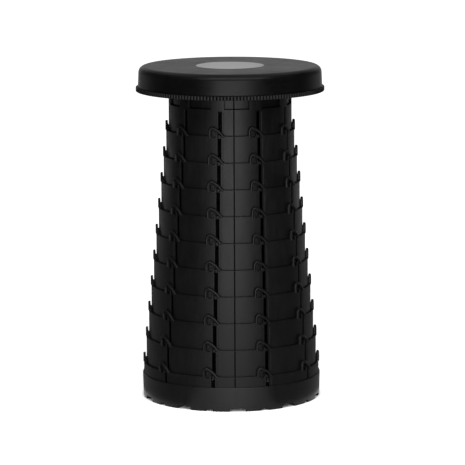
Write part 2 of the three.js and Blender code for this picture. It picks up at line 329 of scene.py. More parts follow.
def grid(columns, reach, step, outline, holes, margin):
    """Spots on columns up to a reach, clear of every outline."""
    edges = [
        (Vector(a), Vector(b))
        for loop in [outline, *holes]
        for a, b in zip(loop, loop[1:] + loop[:1])
    ]
    count = max(1, round(reach / step))
    spots = []
    for column in columns:
        for i in range(1, count):
            spot = Vector((column, reach * i / count))
            if not inside_loop(spot, outline) or any(inside_loop(spot, hole) for hole in holes):
                continue
            if all(edge_distance(spot, a, b) > margin for a, b in edges):
                spots.append(tuple(spot))
    return spots


def edge_distance(spot, start, end):
    along = end - start
    share = max(0, min(1, (spot - start).dot(along) / max(along.length_squared, 1e-9)))
    return (spot - start - along * share).length


# The stool's own outlines. Their ratios and offsets were read off the photograph.

def arch_line(shape):
    """The arch over a slot, from its left foot over the crown to its right foot, up from the panel's top."""
    left, rise = shape.arch_left / MM, shape.arch_rise / MM
    round_radius = left * 0.44
    centre = (round_radius - left, rise - round_radius)
    line = [(-left - 1.1, 0), (-left - 0.32, 0.32), (-left, 1.1), (-left, centre[1] * 0.6)]
    for i in range(9):
        angle = math.pi * (1 - i / 16)
        line.append((
            centre[0] + round_radius * math.cos(angle),
            centre[1] + round_radius * math.sin(angle),
        ))
    slope = [
        (-0.53, 0.975), (-0.41, 0.925), (-0.3, 0.86), (-0.2, 0.785), (-0.1, 0.705), (0, 0.62),
    ]
    line += [(left * a, rise * b) for a, b in slope]
    right = shape.arch_right / MM
    slope = [
        (0.2, 0.505), (0.4, 0.38), (0.58, 0.265), (0.75, 0.155), (0.9, 0.065), (1.04, 0.018),
        (1.2, 0),
    ]
    line += [(right * a, rise * b) for a, b in slope]
    return line


def hook_loop(shape, height):
    """The slot with its hook, counterclockwise from the left of its foot."""
    half, bead = shape.slot_width / MM / 2, shape.bead_width / MM
    arch = arch_line(shape)
    over = inset(arch, chain_ways(arch, False), bead + 0.1)
    far = -shape.arch_left / MM + bead + 0.8
    roof = [p for p in over[4:] if p[0] < half - 0.4 and p[1] > 2.6 and p[0] > far + 0.2]
    pocket = [
        (far, 5), (far, 0.4), (far + 0.45, -1.1), (far + 1.6, -2.1), (far + 3, -2.3),
        (-6.4, -2.25), (-5.2, -1.7), (-4.65, -0.6), (-4.6, 0.8), (-4.6, 2.4), (-4.45, 3.1),
        (-4.0, 3.35), (-3.4, 2.75), (-2.5, 1.5), (-half, 0.2), (-half, -1.6),
    ]
    return slot_loop(shape, height, [
        (half, -1.6), (half, 1.4), (half - 0.15, 2.5), *roof[::-1], *pocket,
    ])


def plain_loop(shape, height):
    """The slot of the smallest ring, which ends below the panel's top and has no hook."""
    half, top, soft = shape.slot_width / MM / 2, -2.2, 0.6
    return slot_loop(shape, height, [
        (half, top - soft), (half - soft, top), (-half + soft, top), (-half, top - soft),
    ])


def slot_loop(shape, height, head):
    """A slot from its foot on the hoop to a head that is drawn up from the panel's top."""
    half, foot = shape.slot_width / MM / 2, shape.hoop_height / MM
    return [(-half, foot), (half, foot)] + [(across, height + up) for across, up in head]


def tab_line(shape):
    """The straight tab of the smallest ring, which stands where the other rings have an arch."""
    left, right, rise = shape.tab_left / MM, shape.tab_right / MM, shape.arch_rise / MM
    soft, bend = 0.9, 0.9 * 0.25
    return [
        (-left - soft, 0), (-left - bend, bend), (-left, soft),
        (-left, rise - soft), (-left + bend, rise - bend), (-left + soft, rise),
        (right - soft, rise), (right - bend, rise - bend), (right, rise - soft),
        (right, soft), (right + bend, bend), (right + soft, 0),
    ]


def bead_line(shape):
    """The middle of the bead, from its straight left end over the arch."""
    half = shape.bead_width / MM / 2
    arch = arch_line(shape)
    middle = inset(arch, chain_ways(arch, False), half)
    left, (across, up) = half - shape.arch_left / MM, middle[-3]
    return [
        (left, -3.2), (left, -2), (left, -0.8), (left, 0.4), *middle[3:-2],
        (across + 0.7, up - 0.75), (across + 1.2, up - 1.4),
    ]


def add_bead(wall, shape, top):
    """A rounded bead raised along the arch."""
    line = bead_line(shape)
    half, rise = shape.bead_width / MM / 2, shape.bead_rise / MM
    steps = 6
    rows = []
    for i, ((across, up), way) in enumerate(zip(line, chain_ways(line, False))):
        fade = min(1, min(i, len(line) - 1 - i) / 2)
        row = []
        for j in range(steps + 1):
            angle = math.pi * j / steps
            side = -math.cos(angle) * half * (0.4 + 0.6 * fade)
            lift = (rise + BEAD_BITE) * math.sin(angle) * fade - BEAD_BITE
            point = (across + way.y * side, top + up - way.x * side)
            turn = wall.turn + point[0] / wall.radius
            lean = -math.cos(angle)
            normal = outward(turn, max(math.sin(angle), 0.15), way.y * lean, -way.x * lean)
            row.append((at(wall.radius + lift, turn, point[1]), normal))
        rows.append(row)
    for row, following in zip(rows, rows[1:]):
        for j in range(steps):
            corners = [row[j], row[j + 1], following[j + 1], following[j]]
            wall.shell.face([point for point, _ in corners], [normal for _, normal in corners])


def add_block(shell, turn, radius, size, centre, rounding):
    """A block with rounded outer edges: size is (across, up), centre its height, radius is (root, tip)."""
    across, up = size
    for level, (out, shrink) in enumerate((
        (radius[1], rounding), (radius[1] - rounding * 0.3, rounding * 0.3), (radius[1] - rounding, 0),
        (radius[0], 0),
    )):
        right, top = across / 2 - shrink, up / 2 - shrink
        ring = [(-right, -top), (right, -top), (right, top), (-right, top)]
        points = [block_point(turn, out, a, centre + b) for a, b in ring]
        if level == 0:
            shell.face(points)
        else:
            for k in range(4):
                m = (k + 1) % 4
                shell.face([before[k], points[k], points[m], before[m]])
        before = points


def block_point(turn, radius, across, height):
    """A point straight across from a radius, and not round the axis."""
    return (
        radius * math.sin(turn) + across * math.cos(turn),
        -radius * math.cos(turn) + across * math.sin(turn),
        height,
    )


def join(shell, rows, closed=False):
    """Faces from each row of points to the next."""
    count = len(rows[0])
    for row, following in zip(rows, rows[1:]):
        for k in range(count if closed else count - 1):
            m = (k + 1) % count
            shell.face([row[k], row[m], following[m], following[k]])


def add_button(shell, turn, radius, across, height, size, rise):
    """A low round button on a ring's face, which shows in the next ring's pocket."""
    centre = turn + across / radius
    count = 16
    spots = [2 * math.pi * k / count for k in range(count)]
    join(shell, [
        [
            block_point(centre, radius + lift, width * math.cos(spot), height + width * math.sin(spot))
            for spot in spots
        ]
        for width, lift in (
            (size, -0.3), (size, rise * 0.55), (size * 0.88, rise * 0.9), (size * 0.6, rise), (0, rise),
        )
    ], closed=True)


def seam_turns(shape, radius):
    """The turns of the two parting lines, front and back."""
    across = math.asin(shape.groove_across / MM / radius)
    return [across, math.pi + across]


def add_wall(shell, radius, height, shape, turn, hooked, tabbed=False):
    """A round wall in ten sectors: with arches and hooked slots, with tabs and plain slots, or plain."""
    thickness, rounding = shape.wall / MM, shape.edge_round / MM
    span, half = SECTOR * radius, shape.slot_width / MM / 2
    flank, flank_depth = half + shape.flank_width / MM, shape.flank_depth / MM
    low, high = shape.hoop_height / MM + FLANK_FOOT, height - FLANK_HEAD
    groove, groove_depth = shape.groove_width / MM / 2, shape.groove_depth / MM
    reach = height + shape.arch_rise / MM
    seams = seam_turns(shape, radius)
    rows = edge_rows(rounding, thickness)
    count = round(SECTOR / COLUMN_TURN)
    columns = [span * (i / count - 0.5) for i in range(count + 1)]
    arch = []
    if hooked:
        columns = [c for c in columns if abs(abs(c) - flank) > 1.2 and abs(abs(c) - half) > 0.8]
        arch = [(a, height + b) for a, b in (tab_line(shape) if tabbed else arch_line(shape))]
    for sector in range(SECTOR_COUNT):
        middle = turn + sector * SECTOR
        turns = [(seam - middle + math.pi) % (2 * math.pi) - math.pi for seam in seams]
        seam = next((angle * radius for angle in turns if abs(angle) < SECTOR / 2), None)
        lines_at, seam_lines = columns, []
        if seam is not None:
            seam_lines = [seam - groove, seam, seam + groove]
            lines_at = sorted([c for c in columns if abs(c - seam) > 1] + seam_lines)

        def relief(across, up, seam=seam):
            if seam is not None and abs(across - seam) < groove / 2:
                return groove_depth
            if hooked and abs(across) < flank + 0.05 and low - 0.05 < up < high + 0.05:
                return flank_depth
            return 0

        wall = Wall(shell, radius, middle, relief)
        top = with_columns([(-span / 2, height), *arch, (span / 2, height)], lines_at)
        bottom = with_columns([(span / 2, 0), (-span / 2, 0)], lines_at)
        wall.strip(top, rows)
        wall.strip(bottom, rows)
        holes, inner_holes, lines = [], [], []
        if hooked:
            loop = plain_loop(shape, height) if tabbed else hook_loop(shape, height)
            hole, inner_hole, lines = add_slot(wall, shape, loop, (low, high), (half, flank))
            holes, inner_holes = [hole], [inner_hole]
        for place in seam_lines:
            ends = [up for across, up in top if abs(across - place) < 1e-6]
            lines.append([(place, rounding), (place, max(ends) - rounding)])
        upper, lower = (
            inset(edge, chain_ways(edge, False), rounding, level_ends=True) for edge in (top, bottom)
        )
        outline = upper[::-1] + lower[::-1]
        spots = grid(lines_at[1:-1], reach, FACE_STEP, outline, holes, margin=1.1)
        sides = [(s * span / 2, height * i / SIDE_STEPS) for s in (-1, 1) for i in range(1, SIDE_STEPS)]
        wall.skin(triangles(add_sides(outline, sides), holes, spots, lines), 0)
        outline = top[::-1] + bottom[::-1]
        spots = grid(columns[1:-1], reach, BACK_STEP, outline, inner_holes, margin=1.5)
        wall.skin(triangles(add_sides(outline, sides), inner_holes, spots), thickness, inner=True)
        if hooked and not tabbed:
            add_bead(wall, shape, height)


def add_slot(wall, shape, loop, band, reach):
    """Cuts a slot with its hoop and its flanks. Gives its holes in the two skins and the flanks' lines."""
    skin, thickness = shape.hoop_skin / MM, shape.wall / MM
    sill, gap, rounding = shape.hoop_sill / MM, shape.flank_fade / MM, shape.slot_round / MM
    half, flank = reach
    levels = [band[0] - gap, band[0], band[1], band[1] + gap]
    right = [(half, level) for level in levels]
    left = [(-half, level) for level in reversed(levels)]
    loop = loop[:2] + right + loop[2:] + left
    rows = edge_rows(rounding, skin)
    wall.strip(loop, rows, closed=True)
    wall.strip(loop[1:] + loop[:1], [rows[-1], (0, thickness, math.pi / 2)])
    add_sill(wall, half, loop[0][1], sill, skin, thickness)
    lines = []
    for side in (-1, 1):
        for edge in (flank, flank + gap):
            lines.append([(side * edge, band[0]), (side * edge, band[1])])
        for level in levels:
            for start, end in ((half + rounding, flank), (flank, flank + gap)):
                lines.append([(side * start, level), (side * end, level)])
    inner = [(-half, sill), (half, sill)] + loop[1:] + loop[:1]
    return inset(loop, chain_ways(loop, True), rounding), inner, lines


def add_sides(outline, spots):
    """Puts the shared points of a sector's two straight sides into its outline."""
    made = []
    for start, end in zip(outline, outline[1:] + outline[:1]):
        made.append(start)
        if abs(start[0] - end[0]) < 1e-6 and abs(start[1] - end[1]) > 20:
            between = [s for s in spots if abs(s[0] - start[0]) < 1e-6]
            between.sort(key=lambda s: s[1], reverse=end[1] < start[1])
            made += between
    return made


def add_sill(wall, half, foot, sill, skin, thickness):
    """The relief behind a slot's hoop."""
    def add(*corners):
        wall.shell.face([wall.spot((across, up), depth) for across, up, depth in corners])

    add((half, foot, skin), (half, sill, skin), (-half, sill, skin), (-half, foot, skin))
    add((half, sill, skin), (half, sill, thickness), (-half, sill, thickness), (-half, sill, skin))
    for side in (-1, 1):
        across = side * half
        corners = [
            (across, foot, skin), (across, foot, thickness), (across, sill, thickness), (across, sill, skin),
        ]
        add(*corners[::side])


# Materials

def new_group(name, inputs, outputs):
    """A node group from {input: (kind, default)} and {output: kind}."""
    tree = bpy.data.node_groups.new(name, "ShaderNodeTree")
    for label, (kind, default) in inputs.items():
        made = tree.interface.new_socket(name=label, in_out="INPUT", socket_type="NodeSocket" + kind)
        if default is not None:
            made.default_value = default
    for label, kind in outputs.items():
        tree.interface.new_socket(name=label, in_out="OUTPUT", socket_type="NodeSocket" + kind)
    return tree


def add_nodes(tree, entries):
    """Makes nodes from {name: (type, {property: value}, {input: value or (node, output)})}."""
    made = {}
    for name, (kind, values, _) in entries.items():
        node = tree.nodes.new(kind)
        node.name = name
        for key, value in values.items():
            setattr(node, key, value)
        made[name] = node
    for name, (_, _, inputs) in entries.items():
        for key, value in inputs.items():
            if isinstance(value, tuple) and value and value[0] in made:
                tree.links.new(made[value[0]].outputs[value[1]], made[name].inputs[key])
            else:
                made[name].inputs[key].default_value = value
    return made


def grain_group():
    """Fine moulded grain over a slow waviness, as a height."""
    tree = new_group("Moulded Grain", {
        "Vector": ("Vector", None), "Grain Scale": ("Float", 2600.0), "Wave Scale": ("Float", 60.0),
        "Wave Share": ("Float", 0.5),
    }, {"Height": "Float"})
    add_nodes(tree, {
        "In": ("NodeGroupInput", {}, {}),
        "Grain": ("ShaderNodeTexNoise", {}, {
            "Vector": ("In", "Vector"), "Scale": ("In", "Grain Scale"), "Detail": 2.0, "Roughness": 0.6,
        }),
        "Wave": ("ShaderNodeTexNoise", {}, {
            "Vector": ("In", "Vector"), "Scale": ("In", "Wave Scale"), "Detail": 1.0, "Roughness": 0.5,
        }),
        "Mix": ("ShaderNodeMix", {"data_type": "FLOAT"}, {
            0: ("In", "Wave Share"), 2: ("Grain", 0), 3: ("Wave", 0),
        }),
        "Out": ("NodeGroupOutput", {}, {0: ("Mix", 0)}),
    })
    return tree


def wear_group():
    """Colour and roughness that drift over a surface: dull patches, faint streaks and fine dust."""
    tree = new_group("Handling Wear", {
        "Vector": ("Vector", None), "Clean": ("Color", (0.01, 0.01, 0.01, 1)),
        "Worn": ("Color", (0.02, 0.02, 0.02, 1)), "Patch Scale": ("Float", 18.0),
        "Streak Stretch": ("Vector", (6.0, 6.0, 1.0)), "Roughness Low": ("Float", 0.35),
        "Roughness High": ("Float", 0.5),
    }, {"Colour": "Color", "Roughness": "Float"})
    add_nodes(tree, {
        "In": ("NodeGroupInput", {}, {}),
        "Patch": ("ShaderNodeTexNoise", {}, {
            "Vector": ("In", "Vector"), "Scale": ("In", "Patch Scale"), "Detail": 4.0, "Roughness": 0.6,
        }),
        "Stretch": ("ShaderNodeVectorMath", {"operation": "MULTIPLY"}, {
            0: ("In", "Vector"), 1: ("In", "Streak Stretch"),
        }),
        "Streak": ("ShaderNodeTexNoise", {}, {
            "Vector": ("Stretch", 0), "Scale": 30.0, "Detail": 5.0, "Roughness": 0.7,
        }),
        "Both": ("ShaderNodeMath", {"operation": "MULTIPLY"}, {0: ("Patch", 0), 1: ("Streak", 0)}),
        "Mask": ("ShaderNodeMapRange", {}, {
            "Value": ("Both", 0), "From Min": 0.12, "From Max": 0.42,
        }),
        "Tone": ("ShaderNodeMix", {"data_type": "RGBA"}, {
            0: ("Mask", 0), 6: ("In", "Clean"), 7: ("In", "Worn"),
        }),
        "Gloss": ("ShaderNodeMix", {"data_type": "FLOAT"}, {
            0: ("Mask", 0), 2: ("In", "Roughness Low"), 3: ("In", "Roughness High"),
        }),
        "Out": ("NodeGroupOutput", {}, {0: ("Tone", 2), 1: ("Gloss", 0)}),
    })
    return tree


def turned_metal_group():
    """Fine rings round the axis, as left by turning or spinning, as a height and a shade."""
    tree = new_group(
        "Turned Metal", {"Vector": ("Vector", None), "Ring Scale": ("Float", 900.0)},
        {"Height": "Float", "Shade": "Float"},
    )
    add_nodes(tree, {
        "In": ("NodeGroupInput", {}, {}),
        "Flat": ("ShaderNodeVectorMath", {"operation": "MULTIPLY"}, {
            0: ("In", "Vector"), 1: (1.0, 1.0, 0.0),
        }),
        "Radius": ("ShaderNodeVectorMath", {"operation": "LENGTH"}, {0: ("Flat", 0)}),
        "Rings": ("ShaderNodeTexNoise", {"noise_dimensions": "1D"}, {
            "W": ("Radius", 1), "Scale": ("In", "Ring Scale"), "Detail": 3.0, "Roughness": 0.7,
        }),
        "Cloud": ("ShaderNodeTexNoise", {}, {"Vector": ("In", "Vector"), "Scale": 40.0, "Detail": 3.0}),
        "Shade": ("ShaderNodeMath", {"operation": "MULTIPLY"}, {0: ("Rings", 0), 1: ("Cloud", 0)}),
        "Out": ("NodeGroupOutput", {}, {0: ("Rings", 0), 1: ("Shade", 0)}),
    })
    return tree


def group_once(name, make):
    return bpy.data.node_groups.get(name) or make()


def new_material(name):
    material = bpy.data.materials.new(name)
    material.use_nodes = True
    tree = material.node_tree
    tree.nodes.clear()
    return material, tree


def surfaced(name, entries, bump, surface):
    """A material of given nodes, with a bump of (height, strength, distance) and a surface over them."""
    material, tree = new_material(name)
    bump = dict(zip(("Height", "Strength", "Distance"), bump))
    add_nodes(tree, {
        "Place": ("ShaderNodeTexCoord", {}, {}),
        **entries,
        "Bump": ("ShaderNodeBump", {}, bump),
        "Surface": ("ShaderNodeBsdfPrincipled", {}, {**surface, "Normal": ("Bump", "Normal")}),
        "Out": ("ShaderNodeOutputMaterial", {}, {"Surface": ("Surface", 0)}),
    })
    return material


def plastic(name, finish, clean=None, worn=None, gloss=(0.36, 0.5), stretch=(6.0, 6.0, 1.0),
            grain=0.12, specular=None, haze=0.0):
    """Black moulded plastic with a fine grain and handling marks."""
    clean = clean or tuple(finish.plastic_colour)
    worn = worn or tuple(finish.worn_colour)
    return bpy.data.materials.get(name) or surfaced(name, {
        "Grain": ("ShaderNodeGroup", {"node_tree": group_once("Moulded Grain", grain_group)}, {
            "Vector": ("Place", "Object"), "Grain Scale": finish.grain_scale, "Wave Scale": 45.0,
            "Wave Share": 0.35,
        }),
        "Wear": ("ShaderNodeGroup", {"node_tree": group_once("Handling Wear", wear_group)}, {
            "Vector": ("Place", "Object"), "Clean": (*clean, 1), "Worn": (*worn, 1),
            "Patch Scale": 16.0, "Streak Stretch": stretch,
            "Roughness Low": gloss[0], "Roughness High": gloss[1],
        }),
    }, (("Grain", "Height"), grain, 0.0004), {
        "Base Color": ("Wear", "Colour"), "Roughness": ("Wear", "Roughness"),
        "Specular IOR Level": finish.plastic_shine if specular is None else specular,
        "Sheen Weight": haze, "Sheen Roughness": 0.35,
    })


def metal(name, colours, gloss, ring_scale, bump):
    """Metal with fine turned rings."""
    dark, light = colours
    return bpy.data.materials.get(name) or surfaced(name, {
        "Rings": ("ShaderNodeGroup", {"node_tree": group_once("Turned Metal", turned_metal_group)}, {
            "Vector": ("Place", "Object"), "Ring Scale": ring_scale,
        }),
        "Tone": ("ShaderNodeMix", {"data_type": "RGBA"}, {
            0: ("Rings", "Shade"), 6: (*dark, 1), 7: (*light, 1),
        }),
        "Gloss": ("ShaderNodeMapRange", {}, {
            "Value": ("Rings", "Shade"), "From Min": 0.1, "From Max": 0.45,
            "To Min": gloss[0], "To Max": gloss[1],
        }),
    }, (("Rings", "Height"), bump, 0.0002), {
        "Base Color": ("Tone", 2), "Roughness": ("Gloss", 0), "Metallic": 1.0,
    })


# Settings

def metres(name, description, default):
    return bpy.props.FloatProperty(name=name, description=description, default=default, unit="LENGTH")


def degrees(name, description, default):
    return bpy.props.FloatProperty(
        name=name, description=description, default=math.radians(default), subtype="ANGLE")


def watts(name, description, default):
    return bpy.props.FloatProperty(
        name=name, description=description, default=default, min=0, unit="POWER")


def factor(name, description, default):
    return bpy.props.FloatProperty(
        name=name, description=description, default=default, min=0, max=1, subtype="FACTOR")


def strength(name, description, default):
    return bpy.props.FloatProperty(name=name, description=description, default=default, min=0)


def colour(name, description, default):
    return bpy.props.FloatVectorProperty(
        name=name, description=description, default=default, subtype="COLOR", size=3, min=0, max=1)


class StoolRingShape(bpy.types.PropertyGroup):
    """Sizes of the nested rings."""

    first_radius: metres("First ring radius", "Outer radius of the smallest ring", 0.0815)
    pitch: metres("Ring pitch", "How much wider each next ring is in radius", 0.00355)
    step: metres("Ring step", "Height between the feet of two rings when pulled up", 0.03475)
    first_foot: metres("Widest ring foot", "Height of the widest ring's foot above the floor", 0.0072)
    panel_height: metres("Panel height", "Height of a ring up to the foot of its arches", 0.03865)
    wall: metres("Wall", "Thickness of a ring's wall", 0.0022)
    edge_round: metres("Edge rounding", "Radius on the upper and lower edges of a ring", 0.0007)
    slot_round: metres("Slot rounding", "Radius on the edges of a slot", 0.0003)
    first_turn: degrees("First slot turn", "Turn of the smallest ring's first slot from the front", -9.4)
    drift: degrees("Slot drift", "Turn of each ring against the one inside it", -0.245)
    arch_left: metres("Arch left reach", "Reach of an arch to the left of its slot", 0.0154)
    arch_right: metres("Arch right reach", "Reach of an arch to the right of its slot", 0.0074)
    arch_rise: metres("Arch rise", "Height of an arch above the panel", 0.0122)
    tab_left: metres("Tab left reach", "Reach of the smallest ring's tab to the left of its slot", 0.0122)
    tab_right: metres("Tab right reach", "Reach of that tab to the right of its slot", 0.0058)
    bead_width: metres("Bead width", "Width of the bead along an arch", 0.0035)
    bead_rise: metres("Bead rise", "Height of the bead above the ring's face", 0.001)
    slot_width: metres("Slot width", "Width of a slot", 0.0048)
    hoop_height: metres("Hoop height", "Height of the hoop that closes the slots at the foot", 0.005)
    hoop_sill: metres("Hoop sill", "Height of the sill behind the hoop", 0.0018)
    hoop_skin: metres("Hoop skin", "Thickness of the hoop in front of the relief", 0.001)
    flank_width: metres("Flank width", "Width of the shallow strip beside a slot", 0.0025)
    flank_depth: metres("Flank depth", "Depth of the shallow strip beside a slot", 0.0002)
    flank_fade: metres("Flank fade", "Width of the slope at the rim of the strip", 0.0003)
    groove_width: metres("Parting line width", "Width of the mould's parting line", 0.0018)
    groove_depth: metres("Parting line depth", "Depth of the mould's parting line", 0.001)
    groove_across: metres(
        "Parting line place", "How far right of the middle the parting line stands", 0.0048)


class StoolFinish(bpy.types.PropertyGroup):
    """Colours and gloss of the stool."""

    plastic_colour: colour("Plastic", "Colour of the black plastic", (0.0016, 0.0016, 0.0017))
    worn_colour: colour(
        "Worn plastic", "Colour of the plastic where hands and dust have dulled it",
        (0.0036, 0.0036, 0.0038))
    plastic_shine: factor("Plastic shine", "Specular level of the plastic", 0.11)
    grain_scale: strength("Grain scale", "How fine the moulded grain is", 1500)
    grip_ridges: bpy.props.IntProperty(
        name="Grip ridges", description="Number of ridges round the grip ring", default=176, min=12)
    grip_depth: metres("Grip depth", "Depth of the gaps between the ridges", 0.0019)
    badge_colour: colour("Badge", "Colour of the round plate in the seat", (0.62, 0.62, 0.63))


class StoolStage(bpy.types.PropertyGroup):
    """Camera, floor, lamps and the cloths and cards round the stool."""

    camera_distance: metres("Camera distance", "Distance of the camera from the stool's axis", 4.0237)
    camera_height: metres("Camera height", "Height of the camera above the floor", 0.8612)
    camera_pitch: degrees("Camera pitch", "How far the camera looks down", 9.072)
    camera_roll: degrees("Camera roll", "How far the picture leans", -0.26)
    camera_yaw: degrees("Camera yaw", "How far the camera looks to the right", 0.034)
    lens: bpy.props.FloatProperty(
        name="Lens", description="Focal length in millimetres on a 36 mm sensor", default=236.5, min=1,
        unit="CAMERA")
    key_power: watts("Front softbox", "Power of the wide softbox in front, in watts", 7.8)
    top_power: watts("Overhead strip", "Power of the strip light above, in watts", 22.0)
    back_power: watts("Back softboxes", "Power of each softbox behind, in watts", 0.12)
    ambient: strength("Ambient", "Strength of the even light of the room", 0.45)
    floor_near: strength("Floor glow near", "Lift of the floor towards white beside the stool", 0.48)
    floor_far: strength("Floor glow far", "Lift of the floor towards white far away", 0.72)
    floor_shade: factor("Floor shade", "How light the floor's own paint is", 0.9)
    flag_radius: metres("Flag radius", "Distance of the dark cloths round the stool", 1.45)
    flag_height: metres("Flag height", "Height of the dark cloths", 1.7)
    flag_gap: degrees("Flag gap", "Half of the opening towards the front softbox", 34)
    flag_shade: factor("Flag shade", "How light the dark cloths are", 0.03)
    card_reach: degrees("Grey card reach", "Half of the grey card behind the stool", 28)
    card_shade: factor("Grey card shade", "How light the grey card is", 0.5)
    cloth_start: metres("Cloth start", "Radius at which the cloth on the floor begins", 0.13)
    cloth_shade: factor("Cloth shade", "How light the cloth on the floor is", 0.32)
    low_card: metres("Low card height", "Height of the lit card low behind the stool", 0.2)
    low_card_reach: degrees("Low card reach", "Half of the lit card behind the stool", 60)
    low_card_level: strength("Low card level", "How bright the lit card is", 0.6)


class StoolSettings(bpy.types.PropertyGroup):
    """All settings of the stool."""

    ring: bpy.props.PointerProperty(type=StoolRingShape, name="Rings", description="Sizes of the rings")
    finish: bpy.props.PointerProperty(type=StoolFinish, name="Finish", description="Colours and gloss")
    stage: bpy.props.PointerProperty(type=StoolStage, name="Stage", description="Camera, floor and lamps")


def settings():
    return bpy.context.scene.stool_settings


def ring_radius(shape, index):
    """Outer radius of a ring in millimetres. The collar is ring 0."""
    return (shape.first_radius + shape.pitch * (index - 1)) / MM


def ring_foot(shape, index):
    """Height of a ring's foot in millimetres."""
    return (shape.first_foot + shape.step * (RING_COUNT - index)) / MM


def slot_turn(shape, index):
    """Turn of a ring's first slot from the front."""
    return shape.first_turn + shape.drift * (index - 1)


def add_lugs(shell, shape, radius, turn):
    """Ten lugs in the next ring's slots, and a low button beside each that shows in its pocket."""
    for i in range(SECTOR_COUNT):
        spot = turn + shape.drift + i * SECTOR
        add_block(shell, spot, (radius - 0.6, radius + 2.1), size=(3.1, 3.2), centre=3.2, rounding=0.5)
        add_button(shell, spot, radius, across=-8.2, height=7.9, size=2.7, rise=0.9)


class STOOL_OT_rings(bpy.types.Operator):
    """Build the eleven slotted rings"""

    bl_idname = "stool.rings"
    bl_label = "Rings"

    def execute(self, context):
        shape, finish = settings().ring, settings().finish
        material = plastic("Ring Plastic", finish)
        for index in range(1, RING_COUNT + 1):
            shell = Shell()
            radius, turn = ring_radius(shape, index), slot_turn(shape, index)
            height = shape.panel_height / MM
            add_wall(shell, radius, height, shape, turn, hooked=True, tabbed=index == 1)
            if index < RING_COUNT:
                add_lugs(shell, shape, radius, turn)
            shell.move(0, 0, ring_foot(shape, index))
            ring = shell.object(f"ring_{index}_moulded", material)
            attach(ring, "base" if index == RING_COUNT else f"ring_{index}_body")
            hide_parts(f"ring_{index}")
        return {"FINISHED"}


class STOOL_OT_collar(bpy.types.Operator):
    """Build the collar under the seat"""

    bl_idname = "stool.collar"
    bl_label = "Collar"

    def execute(self, context):
        shape, finish = settings().ring, settings().finish
        radius, turn = ring_radius(shape, 0), slot_turn(shape, 0)
        neck = 0.012
        height = (shape.panel_height + neck) / MM
        bore, top = radius - shape.wall / MM, height - neck / MM
        bite, reach, depth = 0.5, 10.75, 2.5
        shell = Shell()
        add_wall(shell, radius, height, shape, turn, hooked=False)
        add_lugs(shell, shape, radius, turn)
        turn_profile(shell, [
            (bore - reach, top, 0.4), (bore - reach, top - depth, 0.4),
            (bore + bite, top - depth, 0), (bore + bite, top, 0),
        ], segments=72, steps=2)
        shell.move(0, 0, ring_foot(shape, 0))
        collar = shell.object("seat_collar_moulded", plastic("Ring Plastic", finish))
        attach(collar, "seat")
        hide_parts("seat_collar")
        return {"FINISHED"}


class STOOL_OT_cover(bpy.types.Operator):
    """Build the seat cover with the ribs under it"""

    bl_idname = "stool.cover"
    bl_label = "Seat cover"

    def execute(self, context):
        shape, finish = settings().ring, settings().finish
        low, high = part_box("seat_cover")
        top, foot = high.z / MM, low.z / MM
        under, sunk = top - 2.4, top - 1.1
        recess, crown, skirt, bore, shoulder = 45.3, 121.0, 122.0, 119.7, 8.6
        rib_low, tube_low, boss_circle = under - 10, under - 12, 70.5
        shell = Shell()
        turn_profile(shell, [
            (0, sunk, 0), (recess, sunk, 0.15), (recess, top, 0.35), (crown, top, shoulder),
            (skirt, foot, 0.35), (bore, foot, 0.3), (bore, under, 1.5), (0, under, 0),
        ], segments=180, steps=8, closed=False)
        turn, root = slot_turn(shape, 0), under + 0.4
        for i in range(SECTOR_COUNT):
            add_rib(shell, turn + SECTOR * (i + 0.5), start=14.5, end=72, low=rib_low, high=root)
        add_tube(shell, (0, 0), inner=14, outer=16, low=tube_low, high=root, segments=48)
        for i in range(SCREW_COUNT):
            place = at(boss_circle, turn + 2 * math.pi * i / SCREW_COUNT, 0)[:2]
            add_tube(shell, place, inner=1.7, outer=3.4, low=tube_low, high=root, segments=24)
        cover = shell.object("seat_cover_moulded", plastic(
            "Cover Plastic", finish, clean=(0.0008, 0.0008, 0.0009), worn=(0.002, 0.002, 0.0021),
            stretch=(2.0, 5.0, 10.0), gloss=(0.27, 0.4), grain=0.06, specular=0.08, haze=0.05,
        ))
        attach(cover, "seat")
        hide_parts("seat_cover")
        return {"FINISHED"}


def add_rib(shell, turn, start, end, low, high):
    """A straight rib that runs outwards, with a rounded free edge."""
    half, soft = 1, 0.4
    section = [
        (-half, high), (-half, low + soft), (-half + soft, low), (half - soft, low), (half, low + soft),
        (half, high),
    ]
    near = [block_point(turn, start, across, up) for across, up in section]
    far = [block_point(turn, end, across, up) for across, up in section]
    join(shell, [near, far])
    shell.face(far[::-1])
    shell.face(near)


def add_tube(shell, centre, inner, outer, low, high, segments):
    """An upright tube, open below, with its upper end let into the plate."""
    made = Shell()
    turn_profile(made, [
        (inner, high, 0), (outer, high, 0), (outer, low, 0.3), (inner, low, 0.3), (inner, high, 0),
    ], segments, steps=2, closed=False)
    made.move(*centre, 0)
    count = 0
    for face in made.faces:
        shell.face([made.points[i] for i in face], made.normals[count:count + len(face)])
        count += len(face)


